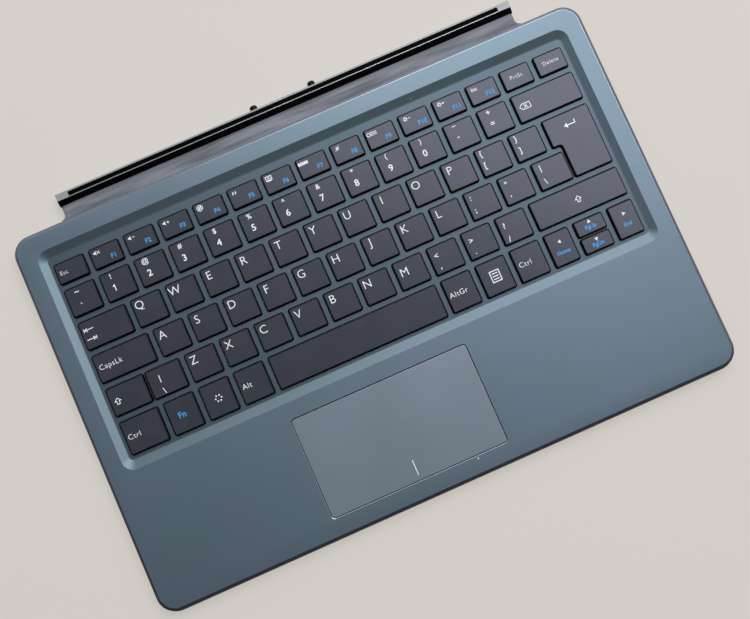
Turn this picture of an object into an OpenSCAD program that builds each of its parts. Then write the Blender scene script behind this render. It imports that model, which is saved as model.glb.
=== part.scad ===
// Tablet keyboard: a slim keyboard with a touchpad and a folding dock rail for a tablet.
// Millimetres. X runs along the width, Y from the user to the back, and Z up.
// The origin is under the middle of the whole keyboard, at the level of its feet.

/* [Case] */
// Width of the lower case
case_w = 302; // [298:1:312]
// Depth of the lower case, front to back
case_d = 195; // [193:1:203]
// Corner radius of the lower case, seen from above
case_corner_r = 10; // [8:0.5:12]
// Height of the lower case, from its underside to its lip
lower_case_h = 2.9; // [2.8:0.1:3.4]
// Height of the upper case above the lip
upper_case_h = 3.0; // [2.9:0.1:3.6]
// Thickness of the lower case's floor
floor_t = 0.9; // [0.7:0.1:1]
// Width of the lip that the lower case shows around the upper case
lip_w = 0.7; // [0.4:0.1:1]
// Width of the small bevel on the lip's outer edge
lip_bevel = 0.3; // [0.1:0.1:0.4]
// Width and height of the taper round the underside
under_taper = 1.1; // [0.6:0.1:1.4]
// Thickness of the deck
deck_t = 1.1; // [0.9:0.1:1.2]
// Thickness of the upper case's side wall
skirt_t = 1.2; // [1:0.1:1.5]
// Width of the polished bevel round the deck
deck_bevel_w = 0.9; // [0.5:0.1:1.1]
// Height of the polished bevel round the deck
deck_bevel_h = 0.7; // [0.4:0.1:0.9]

/* [Keyboard bath] */
// Distance from the front of the case to the front of the key block
key_block_front = 75; // [74:0.5:77]
// How far the bath reaches past the key block at each side
bath_side = 4.2; // [4:0.1:4.8]
// How far the bath reaches past the key block in front
bath_front = 5.1; // [4.8:0.1:6]
// How far the bath reaches past the key block behind
bath_back = 7; // [6:0.1:7.5]
// Depth of the bath under the deck
bath_depth = 1.9; // [1.6:0.1:2]
// Width of the bath's sloped wall, seen from above
bath_slope = 3.6; // [2.5:0.1:3.8]
// Corner radius of the bath's floor
bath_corner_r = 2; // [1:0.5:4]
// Thickness of the web between the keys
web_t = 0.9; // [0.7:0.1:1]
// Thickness of the bath's wall, measured level
bath_wall_t = 1; // [0.8:0.1:1.2]

/* [Keys] */
// Distance from key to key along a row
key_pitch_x = 18.2; // [17.8:0.1:18.4]
// Distance from row to row
key_pitch_y = 17.3; // [17:0.1:17.5]
// Depth of the function key row
function_row_d = 13.5; // [13:0.1:14]
// Depth of the row with the space bar
bottom_row_d = 19.9; // [19:0.1:20.2]
// Gap between neighbouring caps
key_gap = 2.5; // [2.2:0.1:3]
// Gap between two caps that share one opening
shared_gap = 0.6; // [0.5:0.1:0.7]
// Gap between a cap and the edge of its opening
key_play = 0.35; // [0.31:0.01:0.45]
// How far the caps lie under the deck
key_sink = 0.2; // [0:0.1:0.4]
// Height of a cap
cap_h = 2.3; // [2.1:0.1:2.4]
// Thickness of a cap's top
cap_top_t = 0.9; // [0.7:0.1:1]
// Thickness of a cap's side wall
cap_wall = 0.9; // [0.7:0.1:1]
// Corner radius of a cap, seen from above
cap_corner_r = 1.2; // [0.8:0.1:1.6]
// Bevel along a cap's upper edges
cap_bevel = 0.35; // [0.2:0.05:0.5]
// Travel of a key
key_travel = 1.3; // [1:0.1:1.3]

/* [Key works] */
// Thickness of the steel base plate
plate_t = 0.4; // [0.3:0.1:0.5]
// How far the base plate reaches past the key block
plate_margin = 3; // [2:0.5:4]
// Thickness of the switch membrane
membrane_t = 0.25; // [0.2:0.05:0.3]
// Thickness of the dome sheet between its domes
dome_sheet_t = 0.2; // [0.15:0.05:0.25]
// Radius of a rubber dome at its foot
dome_r = 1.9; // [1.5:0.1:2]
// Height of a rubber dome above its sheet
dome_h = 1.1; // [0.8:0.1:1.2]
// Width of a scissor link pair
link_w = 11; // [10:0.5:11.5]
// Depth of a scissor link pair
link_d = 8.4; // [8:0.1:8.8]
// Width of a scissor link's own bars
link_bar = 0.9; // [0.7:0.1:1]
// Thickness of a scissor link
link_t = 0.8; // [0.6:0.1:0.9]
// Diameter of the wire in a stabiliser bar
stabiliser_wire_d = 0.8; // [0.6:0.1:0.9]
// Radius of the post that carries a fixed cap
post_r = 2.2; // [1.8:0.1:2.4]
// Radius of the stakes under the web that hold the key works down
stake_r = 0.7; // [0.5:0.1:0.8]

/* [Touchpad] */
// Width of the touchpad
pad_w = 91; // [88:1:94]
// Depth of the touchpad
pad_d = 50.5; // [49:0.5:52]
// Distance from the front of the case to the touchpad
pad_front = 10.7; // [10.5:0.1:11.5]
// Corner radius of the touchpad
pad_corner_r = 1.6; // [1:0.1:2.5]
// Thickness of the touchpad's plate
pad_t = 1; // [0.8:0.1:1.1]
// Gap round the touchpad
pad_gap = 0.25; // [0.2:0.05:0.35]
// How far the touchpad lies under the deck
pad_sink = 0.05; // [0:0.05:0.15]
// Thickness of the board under the touchpad
pad_board_t = 0.8; // [0.6:0.1:0.9]
// How far the board stays inside the touchpad's edges
pad_board_inset = 2; // [1.5:0.5:3]
// Width of the square switch under the touchpad
switch_w = 5.2; // [4:0.2:6]
// Height of the switch's body
switch_h = 0.8; // [0.6:0.1:0.9]
// Distance from the touchpad's front edge to the switch
switch_back = 9; // [8:1:14]
// Gap that the touchpad's press takes up under the switch
press_gap = 0.5; // [0.45:0.05:0.6]
// Thickness of the bracket under the touchpad
bracket_t = 0.5; // [0.4:0.1:0.6]
// Width of the flanges that hold the bracket under the deck
bracket_flange_w = 5; // [4:0.5:6]
// How far the bracket's trough reaches past the touchpad at each side
bracket_side = 3; // [2.5:0.5:4]

/* [Electronics] */
// Width of the controller board
board_w = 64; // [58:1:68]
// Depth of the controller board
board_d = 26; // [24:1:30]
// Thickness of the controller board
board_t = 0.8; // [0.6:0.1:1]
// Distance from the touchpad's bracket to the controller board
board_gap_x = 9; // [6:1:14]
// Distance from the touchpad's front edge to the board's front edge, front to back
board_gap_y = 16; // [12:1:20]
// Height of the bosses under the controller board
board_boss_h = 0.7; // [0.5:0.1:0.8]
// Thickness of the flat ribbon cables
ribbon_t = 0.2; // [0.15:0.05:0.25]
// Width of the ribbon from the keys
key_ribbon_w = 20; // [16:1:24]
// Width of the ribbon from the touchpad
pad_ribbon_w = 10; // [8:1:12]
// Width of the ribbon to the dock rail
dock_ribbon_w = 12; // [8:1:14]
// Radius of the light pipes
light_r = 0.45; // [0.3:0.05:0.6]
// Length of the light pipes
light_l = 2.4; // [2:0.1:2.6]
// Distance from the middle of the keyboard to the light beside the touchpad
pad_light_x = 15.5; // [12:0.5:20]
// Distance from the front of the case to the light beside the touchpad
pad_light_front = 9; // [8:0.5:9.5]
// Distance from the middle of the keyboard to the light in the bath's back wall
lock_light_x = 57; // [50:1:64]

/* [Underside] */
// Radius of a rubber foot
foot_r = 5; // [4:0.5:6]
// How far the feet stand proud of the underside
foot_proud = 0.7; // [0.5:0.1:0.9]
// Depth of the recess that holds a foot
foot_recess = 0.2; // [0.1:0.1:0.3]
// Distance from the case's edges to the middle of a foot
foot_inset = 15; // [13:1:18]
// Radius of a screw's shank
screw_r = 0.8; // [0.7:0.05:0.9]
// Radius of a screw's head
screw_head_r = 1.8; // [1.6:0.1:2]
// Height of a screw's head
screw_head_h = 0.6; // [0.5:0.05:0.65]
// Outer radius of a screw boss
boss_r = 2.2; // [2:0.1:2.4]
// Gap between a screw boss and the case's wall
boss_gap = 0.25; // [0.2:0.05:0.4]

/* [Hinge strip] */
// Depth of the flexible strip between the case and the rail
strip_reach = 6.6; // [6.2:0.1:8]
// Thickness of the flexible strip
strip_t = 0.8; // [0.6:0.1:0.8]
// How far the strip's ends stay inside the rail's ends
strip_inset = 0.5; // [0:0.1:2]
// Radius of the small flare where the strip leaves the case
strip_flare_r = 2.4; // [1:0.1:3]
// Gap between the strip and the pieces at its two edges
strip_gap = 0.25; // [0.25:0.05:0.35]

/* [Dock rail] */
// Length of the dock rail
rail_w = 242; // [230:1:250]
// Depth of the dock rail
rail_d = 6.2; // [6:0.1:7]
// Height of the dock rail
rail_h = 5.9; // [5.7:0.1:6.2]
// Thickness of the rail's metal cover
rail_cover_t = 0.6; // [0.5:0.1:0.7]
// Depth of the sloped front bar, seen from above
bar_d = 2.7; // [2.4:0.1:2.8]
// How far the front bar drops from its back edge to its front edge
bar_drop = 1.4; // [1.2:0.1:1.4]
// Thickness of the front bar
bar_t = 0.5; // [0.4:0.1:0.6]
// Width of the rubber pad let into the rail's top
top_pad_w = 1.4; // [1:0.1:1.5]
// Distance from the front bar to the rubber pad
top_pad_gap = 0.4; // [0.3:0.1:0.6]
// Distance from the rail's ends to the rubber pad's ends
top_pad_inset = 6.3; // [4:0.1:10]
// Depth of the groove that holds the rubber pad
top_pad_groove = 0.3; // [0.2:0.05:0.35]
// How far the rubber pad stands proud of the rail
top_pad_proud = 0.1; // [0.05:0.05:0.2]
// Distance between the two posts
post_spacing = 30.9; // [28:0.1:36]
// Radius of a post
dock_post_r = 1.9; // [1.6:0.1:2]
// Radius of a post's shank inside the rail
dock_shank_r = 1.5; // [1.2:0.1:1.5]
// Length of a post's shank inside the rail
dock_shank_l = 3.5; // [3:0.1:4]
// How far the posts reach out of the rail
dock_post_reach = 2.6; // [2:0.1:3]
// Bevel at the tip of a post
dock_post_bevel = 0.6; // [0.3:0.1:0.8]
// Height of the posts' axis above the desk
dock_post_z = 2.9; // [2.7:0.1:3.1]
// Number of contact pins
pin_count = 5; // [3:2:7]
// Distance between contact pins
pin_pitch = 2.8; // [2.5:0.1:3]
// Radius of a contact pin
pin_r = 0.5; // [0.4:0.05:0.6]
// How far the contact pins reach out of the rail
pin_reach = 0.9; // [0.7:0.1:1.1]
// Travel of the contact pins
pin_travel = 0.5; // [0.4:0.1:0.6]
// Clearance round a contact pin
pin_play = 0.08; // [0.06:0.01:0.12]
// Length of a magnet in the rail
magnet_w = 18; // [14:1:20]
// Number of magnets in the rail
magnet_count = 6; // [4:2:8]

/* [Hidden] */
$fn = 48;
eps = 0.01;
seat_gap = 0.05;

// Levels
underside_z = foot_proud;
floor_z = underside_z + floor_t;
lip_z = underside_z + lower_case_h;
deck_z = lip_z + upper_case_h;
deck_under_z = deck_z - deck_t;
web_z = deck_z - bath_depth;
web_under_z = web_z - web_t;
cap_top_z = deck_z - key_sink;
cap_bottom_z = cap_top_z - cap_h;
cap_ceiling_z = cap_top_z - cap_top_t;
sheet_top_z = cap_bottom_z - key_travel - seat_gap;
sheet_z = sheet_top_z - dome_sheet_t;
membrane_z = sheet_z - membrane_t;
plate_z = membrane_z - plate_t;
pad_top_z = deck_z - pad_sink;
pad_z = pad_top_z - pad_t;
pad_board_z = pad_z - pad_board_t;
switch_z = pad_board_z - switch_h;
bracket_top_z = switch_z - press_gap;
bracket_z = bracket_top_z - bracket_t;
board_z = floor_z + board_boss_h;
board_top_z = board_z + board_t;

// Places along Y, from the user to the back
total_d = case_d + strip_reach + rail_d + dock_post_reach;
front_y = -total_d / 2;
back_y = front_y + case_d;
case_mid_y = (front_y + back_y) / 2;
rail_front_y = back_y + strip_reach;
rail_back_y = rail_front_y + rail_d;
block_y = front_y + key_block_front;
pad_y = front_y + pad_front + pad_d / 2;
pad_hinge_inset = 2;
pad_hinge_y = pad_y + pad_d / 2 - pad_board_inset - pad_hinge_inset;

// The case's inside
wall_t = lip_w + skirt_t;
skirt_w = case_w - 2 * lip_w;
skirt_d = case_d - 2 * lip_w;
skirt_corner_r = case_corner_r - lip_w;

// The key block: each row lists its keys from the left, with their widths in key pitches.
key_rows = [
    [["left_ctrl", 1.25], ["fn", 1], ["start", 1], ["alt", 1], ["space", 5], ["alt_gr", 1],
     ["menu", 1], ["right_ctrl", 1], ["left", 0.87], ["up_down", 1], ["right", 0.88]],
    [["left_shift", 1.17], ["backslash_left", 1.08], ["z", 1], ["x", 1], ["c", 1], ["v", 1], ["b", 1],
     ["n", 1], ["m", 1], ["comma", 1], ["period", 1], ["slash", 1], ["right_shift", 2.75]],
    [["caps_lock", 1.75], ["a", 1], ["s", 1], ["d", 1], ["f", 1], ["g", 1], ["h", 1], ["j", 1],
     ["k", 1], ["l", 1], ["semicolon", 1], ["quote", 1], ["backslash", 1.05], ["enter", 1.2]],
    [["tab", 1.5], ["q", 1], ["w", 1], ["e", 1], ["r", 1], ["t", 1], ["y", 1], ["u", 1], ["i", 1],
     ["o", 1], ["p", 1], ["left_bracket", 1], ["right_bracket", 1], ["enter_top", 1.5]],
    [["grave", 1], ["1", 1], ["2", 1], ["3", 1], ["4", 1], ["5", 1], ["6", 1], ["7", 1], ["8", 1],
     ["9", 1], ["0", 1], ["minus", 1], ["equals", 1], ["backspace", 2]],
    [["esc", 1], ["f1", 1], ["f2", 1], ["f3", 1], ["f4", 1], ["f5", 1], ["f6", 1], ["f7", 1],
     ["f8", 1], ["f9", 1], ["f10", 1], ["f11", 1], ["f12", 1], ["print", 1], ["delete", 1]]
];
row_last = len(key_rows) - 1;
enter_row = 2;
row_units = 15;
block_w = row_units * key_pitch_x;
block_d = bottom_row_d + 4 * key_pitch_y + function_row_d;
block_mid_y = block_y + block_d / 2;

// Keys that share their opening with the key on their right, and with the one on their left
shares_right = ["left_shift", "backslash"];
shares_left = ["backslash_left", "enter"];
// Keys that are pieces of their own; the others are carried by the base plate
moving_keys = ["q", "w", "e", "r", "t", "y", "u", "i", "o", "p", "a", "s", "d", "f", "g", "h", "j",
    "k", "l", "z", "x", "c", "v", "b", "n", "m", "space", "enter", "backspace", "tab", "caps_lock",
    "left_shift", "right_shift"];
barred_keys = ["space", "backspace", "right_shift"];

function has(list, name) = len([for (entry = list) if (entry == name) entry]) > 0;
function key_start(row, i) = i == 0 ? 0 : key_start(row, i - 1) + row[i - 1][1];
function row_y(r) = block_y + (r == 0 ? 0 : bottom_row_d + (r - 1) * key_pitch_y);
function row_d(r) = r == 0 ? bottom_row_d : r == row_last ? function_row_d : key_pitch_y;
function key_x(u) = u * key_pitch_x - block_w / 2;

// A block is a cap's outline: its name, its left and right edges, and its front and back edges.
function key_block(name, u, units, r) = [
    name,
    key_x(u) + (has(shares_left, name) ? shared_gap : key_gap) / 2,
    key_x(u + units) - (has(shares_right, name) ? shared_gap : key_gap) / 2,
    row_y(r) + key_gap / 2,
    row_y(name == "enter" ? r + 1 : r) + row_d(r) - key_gap / 2
];
function half_block(block, name, half) = [
    name, block[1], block[2],
    half == 0 ? block[3] : (block[3] + block[4] + shared_gap) / 2,
    half == 0 ? (block[3] + block[4] - shared_gap) / 2 : block[4]
];
function cell_blocks(r, i) =
    let (name = key_rows[r][i][0],
         block = key_block(name, key_start(key_rows[r], i), key_rows[r][i][1], r))
    name == "up_down" ? [half_block(block, "down", 0), half_block(block, "up", 1)] : [block];
blocks = [for (r = [0:row_last], i = [0:len(key_rows[r]) - 1]) each cell_blocks(r, i)];
fixed_keys = [for (block = blocks) if (!has(moving_keys, block[0]) && block[0] != "enter_top") block[0]];

function block_of(name) = [for (block = blocks) if (block[0] == name) block][0];
function block_size(block) = [block[2] - block[1], block[4] - block[3]];
function block_mid(block) = [(block[1] + block[2]) / 2, (block[3] + block[4]) / 2];
function link_offsets(w) = w > 60 ? [-w / 3, 0, w / 3] : w > 30 ? [-w / 4, w / 4] : [0];

pad_x = block_mid(block_of("space"))[0];
bracket_half_w = pad_w / 2 + bracket_side;
board_x = pad_x + bracket_half_w + bracket_flange_w + board_gap_x + board_w / 2;
board_y = front_y + pad_front + board_gap_y + board_d / 2;
board_corner_r = 1;

// Ribbons, with the distance of each one's connector from the board's end
dock_ribbon_inset = 10;
key_ribbon_inset = 7;
pad_ribbon_inset = 10;
ribbon_clear = 0.25;
connector_h = 1.2;
connector_d = 3.4;
connector_side = 1;
dock_ribbon_x = board_x + board_w / 2 - dock_ribbon_inset - dock_ribbon_w / 2;
key_ribbon_x = board_x - board_w / 2 + key_ribbon_inset + key_ribbon_w / 2;
pad_ribbon_y = pad_hinge_y - pad_ribbon_inset - pad_ribbon_w / 2;
pad_ribbon_z = pad_board_z - ribbon_clear - ribbon_t;
connector_back_y = board_y + board_d / 2 - connector_side;
connector_left_x = board_x - board_w / 2 + connector_side;

// Lights: one in the deck and one in the bath's back wall, part of the way up
lock_light_rise = 0.7;
lock_light_y = row_y(row_last) + row_d(row_last) + bath_back - bath_slope + 1.2;
light_places = [
    [pad_light_x, front_y + pad_light_front, deck_z],
    [lock_light_x, lock_light_y, web_z + lock_light_rise]];

// Screws: four along the front and the back, and one half way up each side.
// The corner bosses stand just inside the wall's rounded corners.
screw_inset = case_corner_r - (case_corner_r - wall_t - boss_r - boss_gap) / sqrt(2);
screw_x = case_w / 2 - screw_inset;
inner_screw_x = screw_x / 2.9;
screw_places = concat(
    [for (x = [-screw_x, -inner_screw_x, inner_screw_x, screw_x],
          y = [front_y + screw_inset, back_y - screw_inset])
        [x, y]],
    [[-screw_x, case_mid_y], [screw_x, case_mid_y]]);
foot_places = [for (x = [-1, 1], y = [-1, 1])
    [x * (case_w / 2 - foot_inset), case_mid_y + y * (case_d / 2 - foot_inset)]];
stake_places = [for (share = [-0.37, -0.13, 0.13, 0.37], r = [1, 3]) [share * block_w, row_y(r)]];
boss_stub_h = 0.8;
boss_split_z = floor_z + boss_stub_h;
screw_play = 0.2;
foot_bevel = 0.3;

// Small margins of the key works, the touchpad's opening and the lower case
film_inset = 0.5;
plate_corner_r = 3;
pad_collar_w = 1.2;
pad_collar_h = 0.7;
rib_t = 1;
rib_count = 7;
board_boss_r = 2;
board_boss_inset = 4;

// The rail's own levels
strip_z = lip_z;
bar_z = rail_h - bar_drop;
top_pad_y = rail_front_y + bar_d + top_pad_gap + top_pad_w / 2;
magnet_d = 2.2;
magnet_h = 2.2;
magnet_gap = 0.4;
magnet_y = rail_back_y - rail_cover_t - magnet_gap - magnet_d / 2;
rail_bevel = 0.3;
pin_z = dock_post_z;
pin_length = 3.2;

// General shapes

module rounded_rect(w, d, r) {
    square([w - 2 * r, d], center = true);
    square([w, d - 2 * r], center = true);
    for (x = [-1, 1], y = [-1, 1])
        translate([x * (w / 2 - r), y * (d / 2 - r)]) circle(r);
}

module rounded_block(w, d, h, r) linear_extrude(h) rounded_rect(w, d, r);

// A block with rounded corners whose sides lean out by flare on the way up, or in if flare is negative
module flared_block(w, d, h, r, flare) {
    rotate([90, 0, 90]) linear_extrude(w - 2 * r, center = true)
        polygon([[-d / 2, 0], [d / 2, 0], [d / 2 + flare, h], [-d / 2 - flare, h]]);
    rotate([90, 0, 0]) linear_extrude(d - 2 * r, center = true)
        polygon([[-w / 2, 0], [w / 2, 0], [w / 2 + flare, h], [-w / 2 - flare, h]]);
    for (x = [-1, 1], y = [-1, 1])
        translate([x * (w / 2 - r), y * (d / 2 - r)]) cylinder(h = h, r1 = r, r2 = r + flare);
}

// A section drawn in Y and Z, run along X with its middle at x
module run_along_x(x, length) translate([x, 0, 0]) rotate([90, 0, 90]) linear_extrude(length, center = true)
    children();

// A section drawn in X and Z, run along Y with its middle at y
module run_along_y(y, length) translate([0, y, 0]) rotate([90, 0, 0]) linear_extrude(length, center = true)
    children();

// Keys

module bevelled_section(w) polygon([
    [-w / 2, 0], [w / 2, 0], [w / 2, cap_h - cap_bevel], [w / 2 - cap_bevel, cap_h],
    [-w / 2 + cap_bevel, cap_h], [-w / 2, cap_h - cap_bevel]]);

module cap_form(block) {
    size = block_size(block);
    mid = block_mid(block);
    translate([mid[0], mid[1], cap_bottom_z]) intersection() {
        rounded_block(size[0], size[1], cap_h, cap_corner_r);
        rotate([90, 0, 90]) linear_extrude(size[0] + 1, center = true) bevelled_section(size[1]);
        rotate([90, 0, 0]) linear_extrude(size[1] + 1, center = true) bevelled_section(size[0]);
    }
}

module cap_hollow(block) {
    size = block_size(block);
    mid = block_mid(block);
    translate([mid[0], mid[1], cap_bottom_z - eps])
        rounded_block(size[0] - 2 * cap_wall, size[1] - 2 * cap_wall, cap_ceiling_z - cap_bottom_z + eps,
            cap_corner_r / 2);
}

module key_cap(name) color("#3a3b41") difference() {
    union() {
        cap_form(block_of(name));
        if (name == "enter") cap_form(block_of("enter_top"));
    }
    cap_hollow(block_of(name));
    if (name == "enter") cap_hollow(block_of("enter_top"));
}

module fixed_cap(name) {
    mid = block_mid(block_of(name));
    key_cap(name);
    translate([mid[0], mid[1], plate_z]) cylinder(h = cap_ceiling_z - plate_z + cap_top_t / 2, r = post_r);
}

// Openings round the fixed keys' posts and the stakes
module work_holes() {
    for (name = fixed_keys) translate(block_mid(block_of(name))) circle(post_r + key_play);
    for (place = stake_places) translate(place) circle(stake_r + key_play);
}

module work_outline(margin) translate([0, block_mid_y])
    rounded_rect(block_w + 2 * margin, block_d + 2 * margin, plate_corner_r);

module key_base_plate() color("#3a3b41") {
    translate([0, 0, plate_z]) linear_extrude(plate_t) work_outline(plate_margin);
    for (name = fixed_keys) fixed_cap(name);
}

module switch_membrane() color("#6f7f73")
    translate([0, 0, membrane_z]) linear_extrude(membrane_t) difference() {
        work_outline(plate_margin - film_inset);
        work_holes();
    }

module dome_sheet() color("#c9ced2") {
    translate([0, 0, sheet_z]) linear_extrude(dome_sheet_t) difference() {
        work_outline(plate_margin - 2 * film_inset);
        work_holes();
    }
    for (name = moving_keys) translate(concat(block_mid(block_of(name)), sheet_z))
        cylinder(h = dome_sheet_t + dome_h, r1 = dome_r, r2 = dome_r * 0.7);
}

module link_ring(w, d) linear_extrude(link_t) difference() {
    square([w, d], center = true);
    square([w - 2 * link_bar, d - 2 * link_bar], center = true);
}

module link_pair() {
    link_ring(link_w, link_d);
    link_ring(link_w - 2 * link_bar - 0.5, link_d - 2 * link_bar - 0.5);
}

module scissor_links() color("#e6e6e2") for (name = moving_keys) {
    block = block_of(name);
    mid = block_mid(block);
    if (name == "enter") {
        translate([mid[0], row_y(enter_row) + row_d(enter_row) / 2, sheet_top_z]) link_pair();
        translate([mid[0], row_y(enter_row + 1) + row_d(enter_row + 1) / 2, sheet_top_z]) link_pair();
    } else {
        for (x = link_offsets(block_size(block)[0])) translate([mid[0] + x, mid[1], sheet_top_z]) link_pair();
    }
}

module stabiliser_bar(name) {
    r = stabiliser_wire_d / 2;
    block = block_of(name);
    mid = block_mid(block);
    half_w = block_size(block)[0] / 2 - cap_wall - 2 * r;
    bar_y = block_size(block)[1] / 2 - cap_wall - 2 * r;
    translate([mid[0], mid[1], sheet_top_z + r]) {
        translate([-half_w - r, bar_y, 0]) rotate([0, 90, 0]) cylinder(h = 2 * (half_w + r), r = r);
        for (x = [-half_w, half_w]) translate([x, 0, 0]) rotate([-90, 0, 0]) cylinder(h = bar_y, r = r);
    }
}

module stabiliser_bars() color("#b9bcc0") for (name = barred_keys) stabiliser_bar(name);

// Case

module deck_form() translate([0, case_mid_y, lip_z]) {
    rounded_block(skirt_w, skirt_d, upper_case_h - deck_bevel_h, skirt_corner_r);
    translate([0, 0, upper_case_h - deck_bevel_h])
        flared_block(skirt_w, skirt_d, deck_bevel_h, skirt_corner_r, -deck_bevel_w);
}

module deck_hollow() translate([0, case_mid_y, lip_z - eps])
    rounded_block(case_w - 2 * wall_t, case_d - 2 * wall_t, deck_under_z - lip_z + eps,
        case_corner_r - wall_t);

// The bath, as a solid that leans out by the bath's slope, grown by margin
module bath(z, h, margin) {
    floor_w = block_w + 2 * (bath_side - bath_slope + margin);
    floor_d = block_d + bath_front + bath_back - 2 * (bath_slope - margin);
    translate([0, block_mid_y + (bath_back - bath_front) / 2, z])
        flared_block(floor_w, floor_d, h, bath_corner_r + margin, bath_slope * h / bath_depth);
}

module key_openings() translate([0, 0, web_under_z - 1]) linear_extrude(web_t + 2)
    for (block = blocks) translate(block_mid(block))
        rounded_rect(block_size(block)[0] + 2 * key_play, block_size(block)[1] + 2 * key_play,
            cap_corner_r + key_play);

module pad_outline(margin) translate([pad_x, pad_y])
    rounded_rect(pad_w + 2 * margin, pad_d + 2 * margin, pad_corner_r + margin);

module top_cover() color("#68798a") difference() {
    union() {
        difference() {
            deck_form();
            deck_hollow();
        }
        bath(web_under_z, bath_depth, bath_wall_t);
        translate([0, 0, deck_under_z - pad_collar_h]) linear_extrude(deck_t)
            pad_outline(pad_gap + pad_collar_w);
        for (place = screw_places) translate(concat(place, boss_split_z))
            cylinder(h = deck_under_z - boss_split_z + deck_t / 2, r = boss_r);
        for (place = stake_places) translate(concat(place, membrane_z))
            cylinder(h = web_z - membrane_z - web_t / 2, r = stake_r);
    }
    bath(web_z, bath_depth + 0.5, 0);
    key_openings();
    translate([0, 0, deck_under_z - 1]) linear_extrude(deck_t + 2) pad_outline(pad_gap);
    for (place = screw_places) translate(concat(place, boss_split_z - 1))
        cylinder(h = deck_under_z - boss_split_z + 0.6, r = screw_r);
    for (place = light_places) translate([place[0], place[1], place[2] - light_l - 1])
        cylinder(h = light_l + 3, r = light_r);
}

module bottom_form() translate([0, case_mid_y, underside_z]) {
    flared_block(case_w - 2 * under_taper, case_d - 2 * under_taper, under_taper,
        case_corner_r - under_taper, under_taper);
    translate([0, 0, under_taper])
        rounded_block(case_w, case_d, lower_case_h - under_taper - lip_bevel, case_corner_r);
    translate([0, 0, lower_case_h - lip_bevel])
        flared_block(case_w, case_d, lip_bevel, case_corner_r, -lip_bevel);
}

module board_bosses() for (x = [-1, 1], y = [-1, 1])
    translate([
        board_x + x * (board_w / 2 - board_boss_inset),
        board_y + y * (board_d / 2 - board_boss_inset),
        floor_z - floor_t / 2])
        cylinder(h = board_z - floor_z + floor_t / 2, r = board_boss_r);

// Ribs that carry the key works, from the floor up to the base plate
module floor_ribs() for (i = [0:rib_count - 1])
    translate([
        (i - (rib_count - 1) / 2) * block_w / rib_count - rib_t / 2,
        block_mid_y - block_d / 2,
        floor_z - floor_t / 2])
        cube([rib_t, block_d, plate_z - floor_z + floor_t / 2]);

module bottom_cover() color("#8b8d95") difference() {
    union() {
        difference() {
            bottom_form();
            translate([0, case_mid_y, floor_z]) rounded_block(case_w - 2 * wall_t, case_d - 2 * wall_t,
                lower_case_h, case_corner_r - wall_t);
        }
        for (place = screw_places) translate(concat(place, floor_z - floor_t / 2))
            cylinder(h = boss_split_z - floor_z + floor_t / 2, r = boss_r);
        floor_ribs();
        board_bosses();
    }
    for (place = screw_places) translate(concat(place, underside_z - 1)) {
        cylinder(h = boss_split_z - underside_z + 2, r = screw_r + screw_play);
        cylinder(h = 1 + screw_head_h, r = screw_head_r + screw_play);
    }
    for (place = foot_places) translate(concat(place, underside_z - 1))
        cylinder(h = 1 + foot_recess, r = foot_r);
}

module rubber_feet() color("#26272a") for (place = foot_places) translate(place) {
    cylinder(h = foot_bevel, r1 = foot_r - foot_bevel, r2 = foot_r);
    translate([0, 0, foot_bevel]) cylinder(h = foot_proud + foot_recess - foot_bevel, r = foot_r);
}

module case_screw() {
    cylinder(h = screw_head_h, r = screw_head_r);
    cylinder(h = deck_under_z - underside_z - 0.6, r = screw_r);
}

module case_screws() color("#2f3135") for (place = screw_places)
    translate(concat(place, underside_z)) case_screw();

module light_pipes() color("#eef3f5") for (place = light_places)
    translate([place[0], place[1], place[2] - light_l]) cylinder(h = light_l, r = light_r);

// Touchpad

module touchpad_plate() color("#667583") translate([0, 0, pad_z]) linear_extrude(pad_t) pad_outline(0);

module touchpad_board() color("#2e5a45") translate([pad_x, pad_y, pad_board_z])
    rounded_block(pad_w - 2 * pad_board_inset, pad_d - 2 * pad_board_inset, pad_board_t, 1);

switch_y = pad_y - pad_d / 2 + switch_back;

module touchpad_switch() color("#303236") translate([pad_x, switch_y, switch_z]) {
    translate([-switch_w / 2, -switch_w / 2, 0]) cube([switch_w, switch_w, switch_h]);
}

bracket_end_inset = 3;
hinge_rib_inset = 6;
window_side = 2;
window_play = 0.3;

module touchpad_bracket() color("#9ea3a8") difference() {
    union() {
        translate([pad_x, 0, 0]) run_along_y(pad_y, pad_d - 2 * bracket_end_inset) polygon([
            [-bracket_half_w - bracket_flange_w, deck_under_z - bracket_t],
            [-bracket_half_w - bracket_flange_w, deck_under_z],
            [-bracket_half_w + bracket_t, deck_under_z],
            [-bracket_half_w + bracket_t, bracket_top_z],
            [bracket_half_w - bracket_t, bracket_top_z],
            [bracket_half_w - bracket_t, deck_under_z],
            [bracket_half_w + bracket_flange_w, deck_under_z],
            [bracket_half_w + bracket_flange_w, deck_under_z - bracket_t],
            [bracket_half_w, deck_under_z - bracket_t],
            [bracket_half_w, bracket_z],
            [-bracket_half_w, bracket_z],
            [-bracket_half_w, deck_under_z - bracket_t]]);
        translate([pad_x - pad_w / 2 + hinge_rib_inset, pad_hinge_y, bracket_z])
            cube([pad_w - 2 * hinge_rib_inset, bracket_t, pad_board_z - bracket_z]);
    }
    translate([
        pad_x + bracket_half_w - window_side,
        pad_ribbon_y - pad_ribbon_w / 2 - window_play,
        pad_ribbon_z - window_play])
        cube([window_side + bracket_flange_w, pad_ribbon_w + 2 * window_play, ribbon_t + 2 * window_play]);
}

// Electronics

module controller_board() color("#2e5a45") translate([board_x, board_y, board_z])
    rounded_block(board_w, board_d, board_t, board_corner_r);

// A chip or connector on the board, with its middle at x and y
module board_part(x, y, w, d, h) translate([x - w / 2, y - d / 2, board_top_z]) cube([w, d, h]);

controller_w = 8;
controller_h = 1;
regulator_w = 5;
regulator_h = 0.9;
chip_front = 4.5;

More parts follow.
